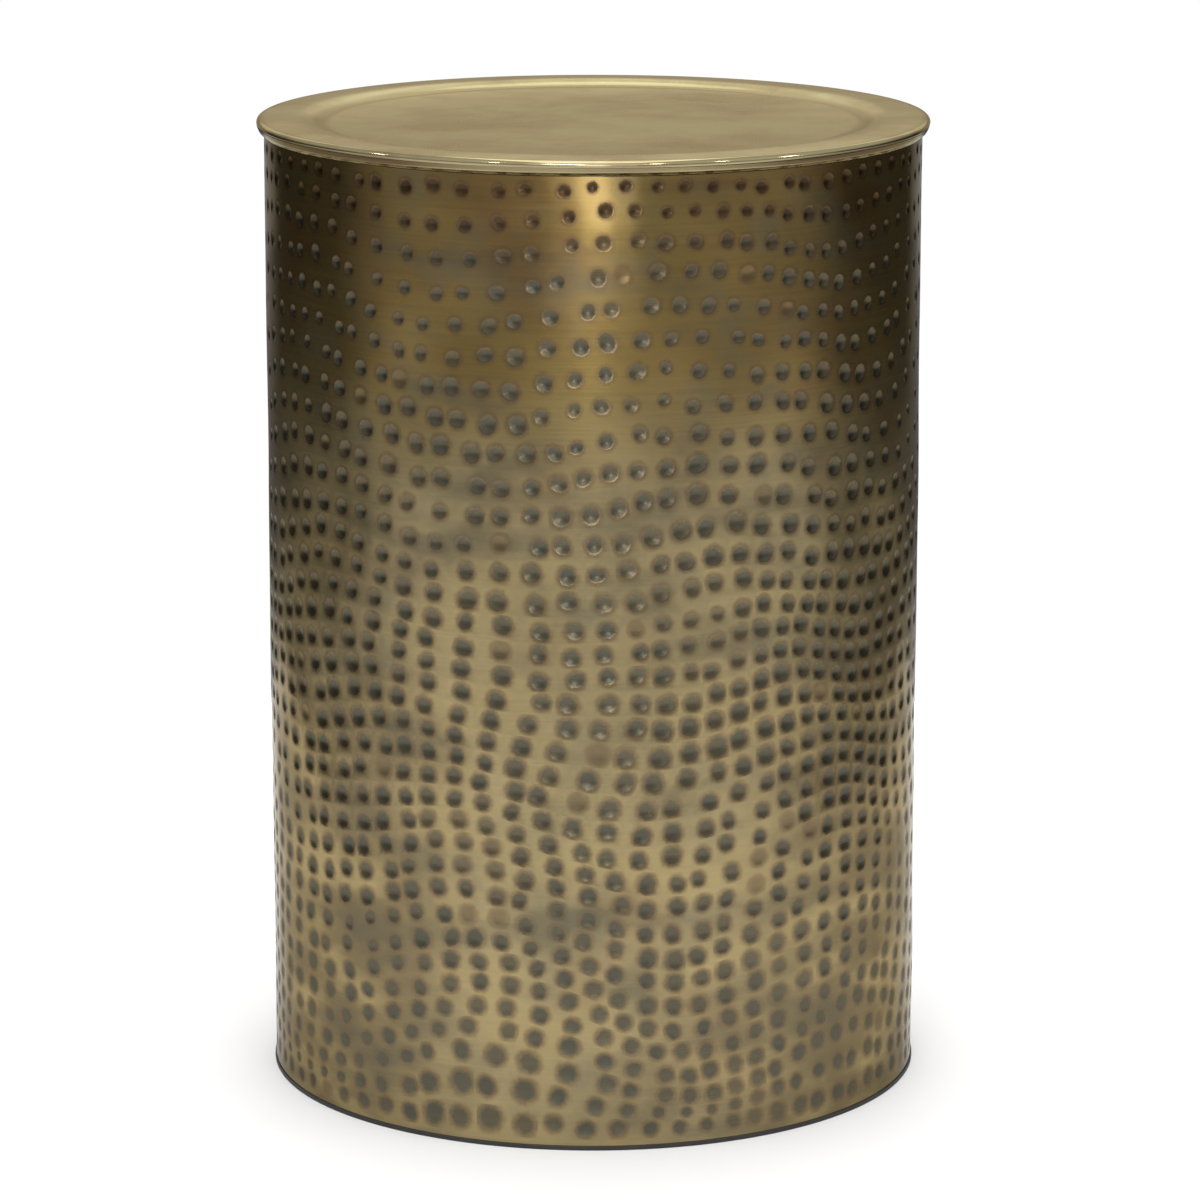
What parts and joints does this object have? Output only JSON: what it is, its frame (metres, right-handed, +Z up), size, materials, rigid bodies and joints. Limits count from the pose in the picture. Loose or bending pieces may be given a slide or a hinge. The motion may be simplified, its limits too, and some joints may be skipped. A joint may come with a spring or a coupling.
{
  "type": "drum side table",
  "caption": "Round hammered-brass drum side table: a straight drum under a shallow spun tray top with a rolled rim, which lifts off the open drum.",
  "frame": {"origin": "on the floor, at the middle of the drum", "axes": "+Z up along the drum's axis; the drum's upright seam faces +Y"},
  "size_m": [0.4, 0.4, 0.58],
  "materials": {
    "hammered_brass": "hand-hammered antique brass, brown patina in the dimples, polished lands",
    "tray_brass": "spun antique brass, satin, uneven brown patina",
    "sheet_brass": "plain mill-finish brass sheet, dulled",
    "bar_brass": "plain drawn brass bar, dulled",
    "black_rubber": "matt black rubber edging",
    "board": "bare medium-density fibreboard",
    "clear_silicone": "clear silicone bumper"
  },
  "bodies": {
    "drum": {"drum_shell": "hammered_brass", "top_hoop": "bar_brass", "base_hoop": "bar_brass", "base_pan": "sheet_brass", "seam_strip": "sheet_brass", "edge_trim": "black_rubber"},
    "lid": {"tray_top": "tray_brass", "rim_wire": "bar_brass", "skirt_ring": "tray_brass", "locating_collar": "sheet_brass", "tray_backer": "board", "lid_pads": "clear_silicone"}
  },
  "joints": [
    {"name": "lid_lift", "type": "slide", "parent": "drum", "child": "lid", "axis": [0, 0, 1], "range_m": [0, 0.25]}
  ]
}
